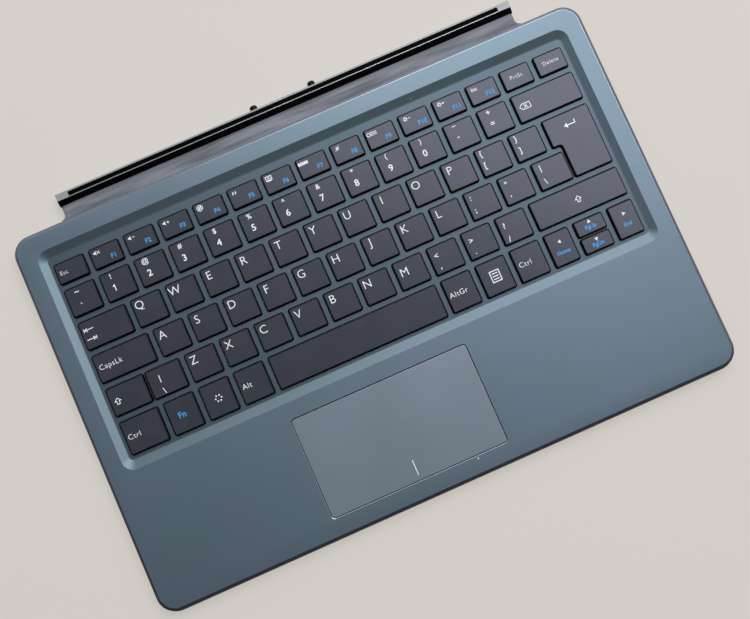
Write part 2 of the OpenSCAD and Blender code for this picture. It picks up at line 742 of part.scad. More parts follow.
module board_parts() color("#2a2b2e") {
    back_row_y = connector_back_y - connector_d / 2;
    board_part(key_ribbon_x, back_row_y, key_ribbon_w + 2 * connector_side, connector_d, connector_h);
    board_part(dock_ribbon_x, back_row_y, dock_ribbon_w + 2 * connector_side, connector_d, connector_h);
    board_part(connector_left_x + connector_d / 2, pad_ribbon_y, connector_d,
        pad_ribbon_w + 2 * connector_side, connector_h);
    board_part(board_x, board_y - chip_front, controller_w, controller_w, controller_h);
    board_part(board_x + board_w / 4, board_y - chip_front, regulator_w, regulator_w, regulator_h);
}

// From the connector down to the gap under the membrane's front edge
module keyboard_ribbon() color("#c7a06a") run_along_x(key_ribbon_x, key_ribbon_w) {
    membrane_front_y = block_mid_y - block_d / 2 - plate_margin + film_inset;
    start_z = board_top_z + connector_h / 2;
    polygon([
        [connector_back_y, start_z],
        [connector_back_y + 4, start_z],
        [membrane_front_y - 4, membrane_z + ribbon_t],
        [membrane_front_y, membrane_z + ribbon_t],
        [membrane_front_y, membrane_z],
        [membrane_front_y - 4, membrane_z],
        [connector_back_y + 4, start_z - ribbon_t],
        [connector_back_y, start_z - ribbon_t]]);
}

// From the touchpad's board out through the bracket to its connector
module touchpad_ribbon() color("#c7a06a") {
    end_x = connector_left_x;
    end_z = board_top_z + connector_h / 2;
    start_x = pad_x + bracket_half_w - 16;
    run_along_y(pad_ribbon_y, pad_ribbon_w) polygon([
        [start_x, pad_ribbon_z],
        [end_x - 5, pad_ribbon_z],
        [end_x - 2, end_z - ribbon_t],
        [end_x, end_z - ribbon_t],
        [end_x, end_z],
        [end_x - 2, end_z],
        [end_x - 5, pad_ribbon_z + ribbon_t],
        [start_x, pad_ribbon_z + ribbon_t]]);
}

// From the connector down to the floor, under the key works and up to the strip
module dock_ribbon() color("#c7a06a") run_along_x(dock_ribbon_x, dock_ribbon_w) {
    end_y = back_y - wall_t - 0.3;
    start_z = board_top_z + connector_h / 2;
    polygon([
        [connector_back_y, start_z],
        [connector_back_y + 3, start_z],
        [connector_back_y + 8, floor_z + ribbon_t],
        [end_y - ribbon_t, floor_z + ribbon_t],
        [end_y - ribbon_t, lip_z],
        [end_y, lip_z],
        [end_y, floor_z],
        [connector_back_y + 8 - ribbon_t, floor_z],
        [connector_back_y + 3 - ribbon_t, start_z - ribbon_t],
        [connector_back_y, start_z - ribbon_t]]);
}

// Hinge strip and dock rail

strip_w = rail_w - 2 * strip_inset;

module hinge_strip() color("#7e808a") translate([0, 0, strip_z]) linear_extrude(strip_t) difference() {
    translate([-strip_w / 2 - strip_flare_r, back_y + strip_gap])
        square([strip_w + 2 * strip_flare_r, strip_reach - 2 * strip_gap]);
    for (x = [-1, 1]) translate([x * (strip_w / 2 + strip_flare_r), back_y + strip_gap + strip_flare_r]) {
        circle(strip_flare_r);
        translate([-strip_flare_r, 0]) square([2 * strip_flare_r, strip_reach]);
    }
}

bar_end_y = rail_front_y + bar_d;
cover_front_z = rail_h - rail_cover_t;

// Section of the sloped bar at the rail's front
module bar_section() polygon([
    [rail_front_y, bar_z], [bar_end_y, rail_h], [bar_end_y, rail_h - bar_t],
    [rail_front_y + bar_t, bar_z - bar_t + bar_drop * bar_t / bar_d], [rail_front_y, bar_z - bar_t]]);

module dock_front_bar() color("#0c0d0f") run_along_x(0, rail_w) bar_section();

module rail_section() polygon([
    [rail_front_y, 0], [rail_back_y, 0],
    [rail_back_y, rail_h - rail_bevel], [rail_back_y - rail_bevel, rail_h],
    [bar_end_y, rail_h], [rail_front_y, bar_z]]);

module cover_hollow_section() polygon([
    [rail_front_y - 1, -1], [rail_back_y - rail_cover_t, -1],
    [rail_back_y - rail_cover_t, cover_front_z], [bar_end_y, cover_front_z],
    [bar_end_y, rail_h + 1], [rail_front_y - 1, rail_h + 1]]);

module dock_rail() color("#a3a7ad") difference() {
    run_along_x(0, rail_w) rail_section();
    run_along_x(0, rail_w - 2 * rail_cover_t) cover_hollow_section();
    run_along_x(0, rail_w + 1) bar_section();
    translate([-rail_w / 2 + top_pad_inset, top_pad_y - top_pad_w / 2, rail_h - top_pad_groove])
        cube([rail_w - 2 * top_pad_inset, top_pad_w, 1]);
    dock_bores();
}

// Holes for the two posts and the contact pins, through the rail's back
module dock_bores() {
    for (x = [-1, 1]) translate([x * post_spacing / 2, rail_back_y - dock_shank_l, dock_post_z])
        rotate([-90, 0, 0]) cylinder(h = dock_shank_l + 1, r = dock_shank_r);
    for (i = [0:pin_count - 1]) translate([(i - (pin_count - 1) / 2) * pin_pitch,
        rail_back_y + pin_reach - pin_length - pin_travel - seat_gap, pin_z])
        rotate([-90, 0, 0]) cylinder(h = pin_length + 1, r = pin_r + pin_play);
}

// Magnets, spread evenly between the posts and the rail's ends
module magnet_blocks(margin) for (side = [-1, 1], rank = [1:magnet_count / 2]) {
    step = (rail_w - post_spacing) / (magnet_count + 2);
    x = side * (post_spacing / 2 + dock_post_r + rank * step);
    magnet_z = cover_front_z - magnet_h;
    translate([x - magnet_w / 2 - margin, magnet_y - magnet_d / 2 - margin, magnet_z - margin])
        cube([magnet_w + 2 * margin, magnet_d + 2 * margin, magnet_h + 2 * margin]);
}

module dock_core() color("#2a2c30") difference() {
    run_along_x(0, rail_w - 2 * rail_cover_t) intersection() {
        rail_section();
        polygon([
            [rail_front_y, 0], [rail_back_y - rail_cover_t, 0], [rail_back_y - rail_cover_t, cover_front_z],
            [bar_end_y, cover_front_z], [bar_end_y, rail_h - bar_t],
            [rail_front_y + bar_t, bar_z - bar_t + bar_drop * bar_t / bar_d], [rail_front_y, bar_z - bar_t]]);
    }
    dock_bores();
    magnet_blocks(seat_gap);
}

module dock_top_pad() color("#15171a")
    translate([-rail_w / 2 + top_pad_inset, top_pad_y - top_pad_w / 2, rail_h - top_pad_groove])
        cube([rail_w - 2 * top_pad_inset, top_pad_w, top_pad_groove + top_pad_proud]);

// A post's shoulder lies against the rail's back, with its shank in the rail
module dock_posts() color("#17181b") for (x = [-1, 1])
    translate([x * post_spacing / 2, rail_back_y, dock_post_z]) rotate([-90, 0, 0]) {
        translate([0, 0, -dock_shank_l]) cylinder(h = dock_shank_l + eps, r = dock_shank_r);
        cylinder(h = dock_post_reach - dock_post_bevel, r = dock_post_r);
        translate([0, 0, dock_post_reach - dock_post_bevel])
            cylinder(h = dock_post_bevel, r1 = dock_post_r, r2 = dock_post_r - dock_post_bevel);
    }

module contact_pins() color("#d8b56a") for (i = [0:pin_count - 1])
    translate([(i - (pin_count - 1) / 2) * pin_pitch, rail_back_y + pin_reach - pin_length, pin_z])
        rotate([-90, 0, 0]) cylinder(h = pin_length, r = pin_r);

module dock_magnets() color("#b4b8bd") magnet_blocks(0);

top_cover();
bottom_cover();
key_base_plate();
switch_membrane();
dome_sheet();
scissor_links();
stabiliser_bars();
touchpad_plate();
touchpad_board();
touchpad_switch();
touchpad_bracket();
controller_board();
board_parts();
keyboard_ribbon();
touchpad_ribbon();
dock_ribbon();
light_pipes();
rubber_feet();
case_screws();
hinge_strip();
dock_rail();
dock_core();
dock_front_bar();
dock_top_pad();
dock_posts();
contact_pins();
dock_magnets();
for (name = moving_keys) key_cap(name);
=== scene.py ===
# A slim keyboard with a touchpad, and a dock rail on a flexible strip that a tablet stands in.
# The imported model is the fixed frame, in metres. Sizes below are in millimetres.

import math

import bmesh
import bpy
from mathutils import Matrix, Vector, noise
from mathutils.geometry import tessellate_polygon


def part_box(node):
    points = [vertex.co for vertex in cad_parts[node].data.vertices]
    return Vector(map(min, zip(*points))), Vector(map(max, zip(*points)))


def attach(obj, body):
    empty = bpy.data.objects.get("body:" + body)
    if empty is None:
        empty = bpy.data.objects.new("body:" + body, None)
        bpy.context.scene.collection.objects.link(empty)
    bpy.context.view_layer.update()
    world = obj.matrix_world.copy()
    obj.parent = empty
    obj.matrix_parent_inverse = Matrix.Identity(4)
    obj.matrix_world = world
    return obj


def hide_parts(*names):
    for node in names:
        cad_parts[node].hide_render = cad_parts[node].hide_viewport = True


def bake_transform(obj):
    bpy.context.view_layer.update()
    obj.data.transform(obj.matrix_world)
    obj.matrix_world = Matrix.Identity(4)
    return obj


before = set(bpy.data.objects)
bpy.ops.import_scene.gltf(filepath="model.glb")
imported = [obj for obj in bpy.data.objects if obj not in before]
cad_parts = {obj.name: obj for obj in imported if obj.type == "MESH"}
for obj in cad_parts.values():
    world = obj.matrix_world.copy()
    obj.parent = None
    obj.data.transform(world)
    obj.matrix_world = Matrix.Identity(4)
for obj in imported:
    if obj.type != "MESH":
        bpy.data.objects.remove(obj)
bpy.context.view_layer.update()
mm = 0.001


# Lower case
# A shallow tray moulded in grey ABS and glass fibre. Only its lip shows round the upper case,
# with its small bevel; the feet and screws sit in recesses of its floor.

def linear(colour):
    """An sRGB hex value as the linear colour that a shader takes."""
    channels = [int(colour[i:i + 2], 16) / 255 for i in (1, 3, 5)]
    return tuple(c / 12.92 if c <= 0.04045 else ((c + 0.055) / 1.055) ** 2.4 for c in channels) + (1.0,)


def add_node(tree, kind, settings=None, links=None):
    """Adds a node. Settings go to its attributes or its inputs, and links join its inputs to sockets."""
    node = tree.nodes.new(kind)
    for name, value in (settings or {}).items():
        if isinstance(name, str) and hasattr(node, name):
            setattr(node, name, value)
        else:
            node.inputs[name].default_value = value
    for name, socket in (links or {}).items():
        tree.links.new(socket, node.inputs[name])
    return node


def new_finish(name, colour, metallic=0.0, roughness=0.5, **sockets):
    """A material with its own shader, and the values that are the same all over it."""
    material = bpy.data.materials.new(name)
    material.use_nodes = True
    shader = material.node_tree.nodes["Principled BSDF"]
    shader.inputs["Base Color"].default_value = linear(colour)
    shader.inputs["Metallic"].default_value = metallic
    shader.inputs["Roughness"].default_value = roughness
    for socket, value in sockets.items():
        shader.inputs[socket.replace("_", " ")].default_value = value
    material.diffuse_color = linear(colour)
    return material


def grain(material, size, height, detail=2.0):
    """Gives a surface its grain, size apart and height deep."""
    tree = material.node_tree
    place = add_node(tree, "ShaderNodeTexCoord")
    texture = add_node(tree, "ShaderNodeTexNoise", {"Scale": 1 / (size * mm), "Detail": detail},
                       {"Vector": place.outputs["Object"]})
    bump = add_node(tree, "ShaderNodeBump", {"Strength": 1.0, "Distance": height * mm},
                    {"Height": texture.outputs["Fac"]})
    tree.links.new(bump.outputs["Normal"], tree.nodes["Principled BSDF"].inputs["Normal"])


def patches(tree, size, detail, stretch):
    """A pattern of patches of a size, which may be drawn out."""
    place = add_node(tree, "ShaderNodeTexCoord")
    drawn_out = add_node(tree, "ShaderNodeVectorMath", {"operation": "DIVIDE", 1: stretch},
                         {0: place.outputs["Object"]})
    texture = add_node(tree, "ShaderNodeTexNoise", {"Scale": 1 / (size * mm), "Detail": detail},
                       {"Vector": drawn_out.outputs["Vector"]})
    return texture.outputs["Fac"]


def shades(material, size, dark, light, detail=3.0, stretch=(1, 1, 1)):
    """Varies a surface's colour between two shades."""
    tree = material.node_tree
    ramp = add_node(tree, "ShaderNodeValToRGB", None, {"Fac": patches(tree, size, detail, stretch)})
    ramp.color_ramp.elements[0].position = 0.35
    ramp.color_ramp.elements[0].color = linear(dark)
    ramp.color_ramp.elements[1].position = 0.65
    ramp.color_ramp.elements[1].color = linear(light)
    tree.links.new(ramp.outputs["Color"], tree.nodes["Principled BSDF"].inputs["Base Color"])


def dress(node, material):
    """Puts a material on a piece that keeps the shape of its solid."""
    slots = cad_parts[node].material_slots
    for entry in slots:
        entry.material = material


# Moulded ABS with a fine spark-eroded grain: matt, grey with a mauve tint.
grey_abs = new_finish("moulded_grey_abs", "#787680", roughness=0.5)
shades(grey_abs, 6, "#727079", "#7F7D87")
grain(grey_abs, 0.35, 0.012)
dress("bottom_cover", grey_abs)


# Feet and screws
# Four round pads die-cut from black rubber sheet and glued on, and ten cross-head screws with
# black oxide that hold the lower case to the upper one.

# Cut rubber: dark, dry and nearly without gloss.
foot_rubber = new_finish("die_cut_rubber", "#232426", roughness=0.75)
shades(foot_rubber, 3, "#1E1F21", "#2A2B2D")
grain(foot_rubber, 0.4, 0.02)
dress("rubber_feet", foot_rubber)


def gloss(material, size, low, high, stretch=(1, 1, 1)):
    """Varies a surface's roughness between two values."""
    tree = material.node_tree
    spread = add_node(tree, "ShaderNodeMapRange",
                      {"From Min": 0.3, "From Max": 0.7, "To Min": low, "To Max": high},
                      {"Value": patches(tree, size, 4.0, stretch)})
    tree.links.new(spread.outputs["Result"], tree.nodes["Principled BSDF"].inputs["Roughness"])


# Black oxide on steel: a dark metal with soft highlights.
black_oxide = new_finish("black_oxide_steel", "#2B2C2F", metallic=1.0, roughness=0.42)
gloss(black_oxide, 1.5, 0.36, 0.5)
dress("case_screws", black_oxide)


# Key works
# A pressed steel plate, the switch film, the silicone domes, and the acetal links and steel wires
# that keep the caps level. They are stacked under the upper case and held down by its stakes.

# Rolled steel sheet: fine streaks along the roll's direction.
rolled_steel = new_finish("rolled_steel", "#8E9195", metallic=1.0, roughness=0.38)
gloss(rolled_steel, 4, 0.3, 0.46)
dress("touchpad_bracket", rolled_steel)

# Drawn wire: bright and even.
drawn_wire = new_finish("drawn_steel_wire", "#B9BCC0", metallic=1.0, roughness=0.28)
gloss(drawn_wire, 1, 0.24, 0.34)
dress("stabiliser_bars", drawn_wire)

# PET film over printed tracks: a green-grey film with a slight gloss.
switch_film = new_finish("printed_pet_film", "#6F7F73", roughness=0.35)
shades(switch_film, 2.5, "#66766A", "#7A8A7E", detail=1.0)
dress("switch_membrane", switch_film)

# Moulded silicone: milky and soft.
silicone = new_finish("moulded_silicone", "#C9CED2", roughness=0.6)
shades(silicone, 4, "#C2C7CB", "#D0D5D9")
dress("dome_sheet", silicone)

# Moulded acetal: off-white, slightly waxy.
acetal = new_finish("moulded_acetal", "#E2E2DD", roughness=0.45)
shades(acetal, 3, "#DDDDD8", "#E8E8E3")
dress("scissor_links", acetal)


# Electronics
# The controller board on its bosses, its chips and connectors, the touchpad's board and switch,
# and three flat ribbons: from the keys, from the touchpad and to the dock rail.

# Solder mask over glass-fibre board: green, glossy.
solder_mask = new_finish("solder_mask_board", "#235240", roughness=0.3)
shades(solder_mask, 1.2, "#1E4A39", "#2B5E4B", detail=1.0)
for board in ("controller_board", "touchpad_board"):
    dress(board, solder_mask)

# Epoxy moulding: black with a fine matt grain.
moulded_epoxy = new_finish("moulded_epoxy", "#232427", roughness=0.55)
grain(moulded_epoxy, 0.3, 0.01)
for part in ("board_parts", "touchpad_switch"):
    dress(part, moulded_epoxy)

# Polyimide film over copper tracks: amber, glossy.
polyimide = new_finish("polyimide_film", "#B5843F", roughness=0.3)
shades(polyimide, 1.0, "#A87836", "#C2914A", detail=0.0)
for ribbon in ("keyboard_ribbon", "touchpad_ribbon", "dock_ribbon"):
    dress(ribbon, polyimide)

# Clear acrylic with a frosted end: pale when its lamp is off.
light_acrylic = new_finish("frosted_acrylic", "#DCE4E8", roughness=0.35)
shades(light_acrylic, 0.5, "#D2DBE0", "#E6EDF0")
dress("light_pipes", light_acrylic)


# Key layout
# Six rows of caps. Widths are in key pitches, and places come from the caps of the frame.

def corners_mm(node):
    low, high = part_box(node)
    return low / mm, high / mm


q_low, q_high = corners_mm("key_q")
w_low, _ = corners_mm("key_w")
a_low, _ = corners_mm("key_a")
tab_low, _ = corners_mm("key_tab")
space_low, space_high = corners_mm("key_space")
pitch_x = w_low.x - q_low.x
pitch_y = q_low.y - a_low.y
key_gap = pitch_x - (q_high.x - q_low.x)
shared_gap = 0.6
cap_bottom_z = q_low.z
cap_top_z = q_high.z
block_left = tab_low.x - key_gap / 2
block_front = space_low.y - key_gap / 2
bottom_row_d = space_high.y - space_low.y + key_gap
function_row_d = 13.5

key_rows = [
    [("left_ctrl", 1.25), ("fn", 1), ("start", 1), ("alt", 1), ("space", 5), ("alt_gr", 1),
     ("menu", 1), ("right_ctrl", 1), ("left", 0.87), ("up_down", 1), ("right", 0.88)],
    [("left_shift", 1.17), ("backslash_left", 1.08)] + [(name, 1) for name in "zxcvbnm"] +
    [("comma", 1), ("period", 1), ("slash", 1), ("right_shift", 2.75)],
    [("caps_lock", 1.75)] + [(name, 1) for name in "asdfghjkl"] +
    [("semicolon", 1), ("quote", 1), ("backslash", 1.05), ("enter", 1.2)],
    [("tab", 1.5)] + [(name, 1) for name in "qwertyuiop"] +
    [("left_bracket", 1), ("right_bracket", 1), ("enter_top", 1.5)],
    [("grave", 1)] + [(name, 1) for name in "1234567890"] +
    [("minus", 1), ("equals", 1), ("backspace", 2)],
    [("esc", 1)] + [(f"f{number}", 1) for number in range(1, 13)] + [("print", 1), ("delete", 1)],
]
shares_right = ("left_shift", "backslash")
shares_left = ("backslash_left", "enter")


def rectangle(left, right, front, back):
    return [Vector((left, front)), Vector((right, front)), Vector((right, back)), Vector((left, back))]


caps = {}
row_front = block_front
for row_number, row in enumerate(key_rows):
    row_depth = bottom_row_d if row_number == 0 else function_row_d if row_number == 5 else pitch_y
    start = block_left
    for name, width in row:
        left = start + (shared_gap if name in shares_left else key_gap) / 2
        start += width * pitch_x
        right = start - (shared_gap if name in shares_right else key_gap) / 2
        front = row_front + key_gap / 2
        back = row_front + row_depth - key_gap / 2
        if name == "up_down":
            middle = (front + back) / 2
            caps["down"] = rectangle(left, right, front, middle - shared_gap / 2)
            caps["up"] = rectangle(left, right, middle + shared_gap / 2, back)
        else:
            caps[name] = rectangle(left, right, front, back)
    row_front += row_depth
block_right = start
block_back = row_front

# Enter is one cap of two heights: its upper half is wider to the left.
enter_top = caps.pop("enter_top")
caps["enter"] = [caps["enter"][0], caps["enter"][1], enter_top[2], enter_top[3], enter_top[0],
                 Vector((caps["enter"][0].x, enter_top[0].y))]


# Upper case
# One aluminium shell, bead-blasted and anodised slate blue. The sunken bath for the keys is pressed
# in and the outer edge is buffed. A thin line inside that edge and the edge of the touchpad's
# opening are cut with a diamond tool.

def outline(corners, grow=0.0, radius=1.0, steps=5):
    """An outline with right-angled corners, moved out by grow, and with its corners rounded."""
    points = []
    for i, here in enumerate(corners):
        before = corners[i - 1]
        after = corners[(i + 1) % len(corners)]
        inward = (here - before).normalized()
        outward = (after - here).normalized()
        is_outer = inward.x * outward.y - inward.y * outward.x > 0
        r = max(radius + (grow if is_outer else -grow), 0.02)
        moved = here + grow * Vector((inward.y + outward.y, -inward.x - outward.x))
        middle = moved + r * (outward - inward)
        for k in range(steps + 1):
            turn = math.pi / 2 * k / steps
            points.append(middle - r * math.cos(turn) * outward + r * math.sin(turn) * inward)
    return points


def ring(shape, points, z):
    return [shape.verts.new((p[0] * mm, p[1] * mm, z * mm)) for p in points]


def wall(shape, low, high, material=0):
    """Faces between two rings that have as many points, in one of the piece's materials."""
    for i in range(len(low)):
        face = shape.faces.new((low[i - 1], low[i], high[i], high[i - 1]))
        face.material_index = material


def fill(shape, outer, holes=(), material=0):
    """Faces across a ring, with holes left open."""
    loops = [outer, *holes]
    points = [point for loop in loops for point in loop]
    for triangle in tessellate_polygon([[point.co for point in loop] for loop in loops]):
        face = shape.faces.new([points[i] for i in triangle])
        face.material_index = material


def new_piece(name, shape, materials, smooth=35):
    """A piece from a finished shape, smooth except where its faces meet at more than an angle."""
    bmesh.ops.recalc_face_normals(shape, faces=shape.faces)
    mesh = bpy.data.meshes.new(name)
    shape.to_mesh(mesh)
    shape.free()
    for material in materials:
        mesh.materials.append(material)
    mesh.polygons.foreach_set("use_smooth", [True] * len(mesh.polygons))
    mesh.set_sharp_from_angle(angle=math.radians(smooth))
    piece = bpy.data.objects.new(name, mesh)
    bpy.context.scene.collection.objects.link(piece)
    return piece


def fade(material, axis, dark_end, full_end, tint):
    """Darkens a surface towards one end along an axis, by a tint. Places are in mm."""
    tree = material.node_tree
    shader = tree.nodes["Principled BSDF"]
    place = add_node(tree, "ShaderNodeTexCoord")
    parts = add_node(tree, "ShaderNodeSeparateXYZ", None, {0: place.outputs["Object"]})
    amount = add_node(tree, "ShaderNodeMapRange", {
        "interpolation_type": "SMOOTHSTEP", "From Min": dark_end * mm, "From Max": full_end * mm,
        "To Min": 1.0, "To Max": 0.0}, {"Value": parts.outputs[axis]})
    colour = shader.inputs["Base Color"].links[0].from_socket
    # A mix node keeps its colour sockets at 6 and 7, and its colour result at 2.
    darker = add_node(tree, "ShaderNodeMix",
                      {"data_type": "RGBA", "blend_type": "MULTIPLY", 7: linear(tint)},
                      {0: amount.outputs["Result"], 6: colour})
    tree.links.new(darker.outputs[2], shader.inputs["Base Color"])


# Bead-blasted and anodised aluminium: fine matt texture, slate blue, slightly uneven.
anodised = new_finish("bead_blasted_anodised_aluminium", "#62727F", metallic=0.85, roughness=0.46)
shades(anodised, 40, "#60727D", "#647281", detail=2.0)
# The blasted pits are about 0.1 mm; they are drawn 0.5 mm apart to show.
grain(anodised, 0.5, 0.006)

# Diamond-cut aluminium: mirror-like, so it is bright towards the light and black away from it.
diamond_cut = new_finish("diamond_cut_aluminium", "#7D8C97", metallic=1.0, roughness=0.1)
gloss(diamond_cut, 3, 0.08, 0.13)

# The same cut, painted lighter as a highlight, round the touchpad's opening: nearly white.
highlight_cut = new_finish("cut_aluminium_painted_highlight", "#BCC1C5", metallic=1.0, roughness=0.2)
gloss(highlight_cut, 2, 0.17, 0.23)

# The rounded edge is buffed before it is anodised: satin, grey with a mauve tint.
buffed_edge = new_finish("buffed_anodised_edge", "#7A7B8A", metallic=0.9, roughness=0.26)
gloss(buffed_edge, 5, 0.22, 0.3)

cover_low, cover_high = corners_mm("top_cover")
_, tray_high = corners_mm("bottom_cover")
pad_low, pad_high = corners_mm("touchpad_plate")
deck_z = cover_high.z
lip_z = tray_high.z
deck_t = 1.1
skirt_t = 1.2
cover_corner_r = 9.3
deck_edge_w = 1.3
deck_edge_h = 0.66
deck_cut_w = 0.27
deck_cut_h = 0.06
bath_side = 4.2
bath_front = 5.1
bath_back = 7.0
bath_depth = 1.9
bath_slope = 3.9
bath_slope_front = 4.8
bath_slope_back = 4.5
bath_straight = 0.88
bath_corner_r = 2.0
bath_wall_t = 1.0
web_t = 0.9
web_z = deck_z - bath_depth
key_play = 0.18
cap_corner_r = 1.2
pad_gap = 0.36
collar_t = 1.2
collar_h = 0.7
pad_corner_r = 1.6
pad_bevel_w = 0.18
pad_bevel_h = 0.11
CUT, BUFFED, HIGHLIGHT = 1, 2, 3

# The bath is a little greener than the deck, and its floor is painted darker as shade from the caps round
# it.
fade(anodised, "Z", deck_z - 0.6, deck_z - 0.05, "#FDFFF9")
# Painted shade: the web's level is darkened by this tint.
fade(anodised, "Z", web_z - 0.02, web_z + 0.1, "#C3C2C8")


def make_upper_case():
    shape = bmesh.new()
    skirt = rectangle(cover_low.x, cover_high.x, cover_low.y, cover_high.y)
    bath_sides = (block_left - bath_side, block_right + bath_side,
                  block_front - bath_front, block_back + bath_back)
    pad_outline = rectangle(pad_low.x, pad_high.x, pad_low.y, pad_high.y)
    bath_r = bath_corner_r + bath_slope

    def skirt_ring(inset, z):
        return ring(shape, outline(skirt, -inset, cover_corner_r, 12), z)

    def pad_ring(grow, z):
        return ring(shape, outline(pad_outline, grow, pad_corner_r, 6), z)

    def bath_ring(along, z):
        left, right, front, back = bath_sides
        reach = bath_slope * along
        edge = rectangle(left + reach, right - reach, front + bath_slope_front * along,
                         back - bath_slope_back * along)
        return ring(shape, outline(edge, 0, bath_r - reach, 8), z)

    # Outside: the skirt, the buffed edge, and the thin diamond cut between it and the deck
    foot = skirt_ring(0, lip_z)
    shoulder = skirt_ring(0, deck_z - deck_edge_h)
    wall(shape, foot, shoulder)
    cut_steps = 3
    cut_rings = []
    for k in range(cut_steps + 1):
        along = k / cut_steps
        inset = deck_edge_w + deck_cut_w * along
        cut_rings.append(skirt_ring(inset, deck_z - deck_cut_h * (1 - along) ** 2))
    wall(shape, shoulder, cut_rings[0], BUFFED)
    for low, high in zip(cut_rings, cut_rings[1:]):
        wall(shape, low, high, CUT)
    deck_edge = cut_rings[-1]

    # The bath's wall slopes evenly from its crisp upper edge, and runs out level in a fillet.
    slope_steps = 12
    bath_rings = []
    for k in range(slope_steps + 1):
        along = k / slope_steps
        past = max(0.0, along - bath_straight)
        fall = (along - past ** 2 / (2 * (1 - bath_straight))) / (1 - (1 - bath_straight) / 2)
        bath_rings.append(bath_ring(along, deck_z - bath_depth * fall))
    # One more ring lies level, so that the fillet's shading ends before the web.
    bath_rings.append(bath_ring(1.02, web_z))
    for low, high in zip(bath_rings, bath_rings[1:]):
        wall(shape, low, high)

    # The touchpad's opening with its cut edge, painted lighter as a highlight
    pad_top = pad_ring(pad_gap + pad_bevel_w, deck_z)
    pad_shoulder = pad_ring(pad_gap, deck_z - pad_bevel_h)
    pad_foot = pad_ring(pad_gap, deck_z - deck_t - collar_h)
    wall(shape, pad_top, pad_shoulder, HIGHLIGHT)
    wall(shape, pad_shoulder, pad_foot)
    fill(shape, deck_edge, [bath_rings[0], pad_top])

    # The web with an opening for each cap
    upper_rings = []
    lower_rings = []
    for corners in caps.values():
        edge = outline(corners, key_play, cap_corner_r, 4)
        upper_rings.append(ring(shape, edge, web_z))
        lower_rings.append(ring(shape, edge, web_z - web_t))
        wall(shape, upper_rings[-1], lower_rings[-1])
    fill(shape, bath_rings[-1], upper_rings)

    # Inside: the back of the web, of the bath's wall and of the deck
    under_slope = 1 - bath_wall_t / bath_slope
    web_back = bath_ring(under_slope, web_z - web_t)
    slope_back = bath_ring(under_slope - (bath_depth + web_t - deck_t) / bath_depth, deck_z - deck_t)
    fill(shape, web_back, lower_rings)
    wall(shape, web_back, slope_back)
    collar = pad_ring(pad_gap + collar_t, deck_z - deck_t)
    collar_foot = pad_ring(pad_gap + collar_t, deck_z - deck_t - collar_h)
    wall(shape, collar, collar_foot)
    wall(shape, collar_foot, pad_foot)
    inner = skirt_ring(skirt_t, deck_z - deck_t)
    inner_foot = skirt_ring(skirt_t, lip_z)
    fill(shape, inner, [slope_back, collar])
    wall(shape, inner, inner_foot)
    wall(shape, inner_foot, foot)
    return new_piece("upper_case", shape, [anodised, diamond_cut, buffed_edge, highlight_cut], smooth=20)


upper_case = make_upper_case()
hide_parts("top_cover")
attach(upper_case, "case")


# Touchpad
# A glass-filled plate with a satin lacquer in the deck's colour, level with the deck. A short
# white line printed at its front edge parts the two buttons.

# Satin lacquer on a moulded plate: the deck's colour, smoother and a little lighter.
satin_lacquer = new_finish("satin_lacquer", "#76848F", metallic=0.55, roughness=0.34)
shades(satin_lacquer, 60, "#74828B", "#798593", detail=1.0)
gloss(satin_lacquer, 18, 0.31, 0.38)

# Screen-printed ink: white and matt.
white_ink = new_finish("white_screen_print", "#E9ECEF", roughness=0.5)
shades(white_ink, 0.6, "#E3E6EA", "#F0F2F4")

print_t = 0.02
mark_w = 0.4
mark_l = 7.6
mark_to_front = 2.5
INK = 1


def stack(shape, levels, material=0):
    """A solid between outlines, each with its height, closed at both ends."""
    rings = [ring(shape, points, z) for points, z in levels]
    for low, high in zip(rings, rings[1:]):
        wall(shape, low, high, material)
    fill(shape, rings[0], (), material)
    fill(shape, rings[-1], (), material)


def make_touchpad():
    shape = bmesh.new()
    edge = rectangle(pad_low.x, pad_high.x, pad_low.y, pad_high.y)
    # Its upper edge is rounded, and a flat ring inside that keeps the top's shading level.
    profile = [(0, pad_low.z), (0, pad_high.z - 0.12), (0.04, pad_high.z - 0.04), (0.12, pad_high.z),
               (0.3, pad_high.z)]
    stack(shape, [(outline(edge, -inset, pad_corner_r, 6), z) for inset, z in profile])
    # The printed line
    centre = (pad_low.x + pad_high.x) / 2
    mark_front = pad_low.y + mark_to_front
    mark_sides = rectangle(centre - mark_w / 2, centre + mark_w / 2, mark_front, mark_front + mark_l)
    mark = outline(mark_sides, 0, 0.1, 2)
    stack(shape, [(mark, pad_high.z), (mark, pad_high.z + print_t)], INK)
    return new_piece("touchpad", shape, [satin_lacquer, white_ink])


touchpad = make_touchpad()
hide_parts("touchpad_plate")
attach(touchpad, "touchpad")


# Key caps
# Each cap is moulded in charcoal ABS, hollow, with sides that lean in, a round upper edge and a
# satin top. Legends are printed in white, and those of the Fn layer in blue.

# Moulded ABS with a satin top: charcoal with a cool tint, slightly uneven.
keycap_abs = new_finish("satin_charcoal_abs", "#232429", roughness=0.28, Specular_IOR_Level=0.68,
                        Specular_Tint=linear("#E0E5FF"))
shades(keycap_abs, 9, "#202228", "#26262D", detail=1.0)
grain(keycap_abs, 0.3, 0.005)

# The caps' sides and rims: the same ABS, painted near black as shade, with weak glossy reflections.
cap_side_shade_abs = new_finish("cap_side_painted_shade_abs", "#050506", roughness=0.3, Specular_IOR_Level=0.2)
gloss(cap_side_shade_abs, 2, 0.26, 0.34)

# Screen-printed ink: a clear sky blue, matt.
blue_ink = new_finish("blue_screen_print", "#2C8FD6", roughness=0.5)
shades(blue_ink, 0.6, "#2887CC", "#3498DF")

cap_wall = 0.9
cap_ceiling_z = cap_top_z - cap_wall
cap_edge = 0.55
cap_draft = 0.28
post_r = 2.2
TOP, WHITE, BLUE, SIDE = 0, 1, 2, 3


